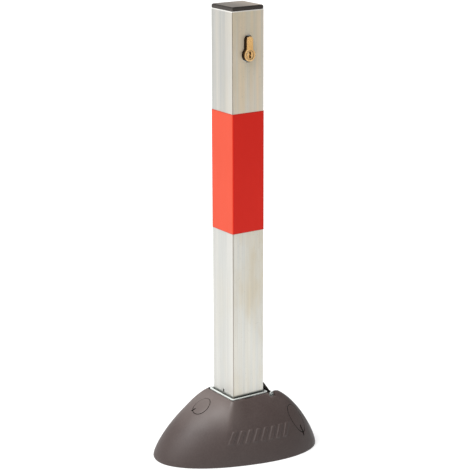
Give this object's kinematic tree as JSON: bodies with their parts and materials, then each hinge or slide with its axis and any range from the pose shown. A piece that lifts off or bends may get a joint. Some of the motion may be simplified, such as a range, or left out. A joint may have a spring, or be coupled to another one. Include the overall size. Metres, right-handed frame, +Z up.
{
  "type": "safety bollard",
  "caption": "Removable square steel bollard with a red band, a key lock that works latch bolts, and a surface-mounted socket under a moulded base cover.",
  "frame": {"origin": "on the post's axis, at the underside of the base plate", "axes": "+Z up along the post; the lock faces -Y; the socket flap is on +X; the post's faces are square to X and Y"},
  "size_m": [0.2294, 0.1413, 0.6245],
  "materials": {
    "post_steel": "zinc-plated tube, faint yellow passivation and drawing streaks",
    "zinc_steel": "bright zinc",
    "dark_steel": "blackened steel",
    "lock_brass": "satin brass",
    "cover_plastic": "moulded, fine matt grain, warm dark grey",
    "black_plastic": "moulded black",
    "red_film": "semi-gloss red film",
    "buffer_rubber": "matt"
  },
  "bodies": {
    "base": {"base_plate": "zinc_steel", "socket_tube": "zinc_steel", "socket_buffer": "buffer_rubber", "flap_bracket": "zinc_steel", "flap_pin": "zinc_steel", "base_cover": "cover_plastic", "cover_screw_1": "dark_steel", "cover_screw_2": "dark_steel", "cover_screw_3": "dark_steel", "cover_screw_4": "dark_steel"},
    "post": {"post_tube": "post_steel", "post_cap": "black_plastic", "red_band": "red_film", "lock_cylinder": "lock_brass", "lock_bracket": "zinc_steel", "lock_screw": "dark_steel", "rod_guide_upper": "zinc_steel", "rod_guide_lower": "zinc_steel", "latch_housing": "dark_steel", "housing_screw_front": "dark_steel", "housing_screw_rear": "dark_steel"},
    "key_core": {"lock_core": "lock_brass", "lock_crank": "dark_steel"},
    "rod": {"rod_yoke": "dark_steel", "lock_rod": "zinc_steel", "spreader_plate": "dark_steel"},
    "bolt_left": {"latch_bolt_left": "zinc_steel", "latch_pin_left": "dark_steel"},
    "bolt_right": {"latch_bolt_right": "zinc_steel", "latch_pin_right": "dark_steel"},
    "flap": {"socket_flap": "black_plastic"},
    "plug_left": {"plug_left": "cover_plastic"},
    "plug_front": {"plug_front": "cover_plastic"},
    "plug_rear": {"plug_rear": "cover_plastic"}
  },
  "joints": [
    {"name": "post_lift", "type": "slide", "parent": "base", "child": "post", "axis": [0, 0, 1], "range_m": [0, 0.12]},
    {"name": "key_turn", "type": "hinge", "parent": "post", "child": "key_core", "pos_m": [0, -0.0295, 0.561], "axis": [0, -1, 0], "range_deg": [0, 180]},
    {"name": "rod_rise", "type": "slide", "parent": "post", "child": "rod", "axis": [0, 0, 1], "range_m": [0, 0.016]},
    {"name": "bolt_left_slide", "type": "slide", "parent": "post", "child": "bolt_left", "axis": [-1, 0, 0], "range_m": [0, 0.006]},
    {"name": "bolt_right_slide", "type": "slide", "parent": "post", "child": "bolt_right", "axis": [1, 0, 0], "range_m": [0, 0.006]},
    {"name": "flap_tilt", "type": "hinge", "parent": "base", "child": "flap", "pos_m": [0.0395, 0, 0.08], "axis": [0, 1, 0], "range_deg": [0, 54]},
    {"name": "plug_left_pull", "type": "slide", "parent": "base", "child": "plug_left", "axis": [0, 0, 1], "range_m": [0, 0.02]},
    {"name": "plug_front_pull", "type": "slide", "parent": "base", "child": "plug_front", "axis": [0, 0, 1], "range_m": [0, 0.02]},
    {"name": "plug_rear_pull", "type": "slide", "parent": "base", "child": "plug_rear", "axis": [0, 0, 1], "range_m": [0, 0.02]}
  ],
  "couplings": [
    {"joint": "key_turn", "follows": "rod_rise", "rad_per_m": 196.35},
    {"joint": "bolt_left_slide", "follows": "rod_rise", "ratio": 0.375},
    {"joint": "bolt_right_slide", "follows": "rod_rise", "ratio": 0.375}
  ]
}
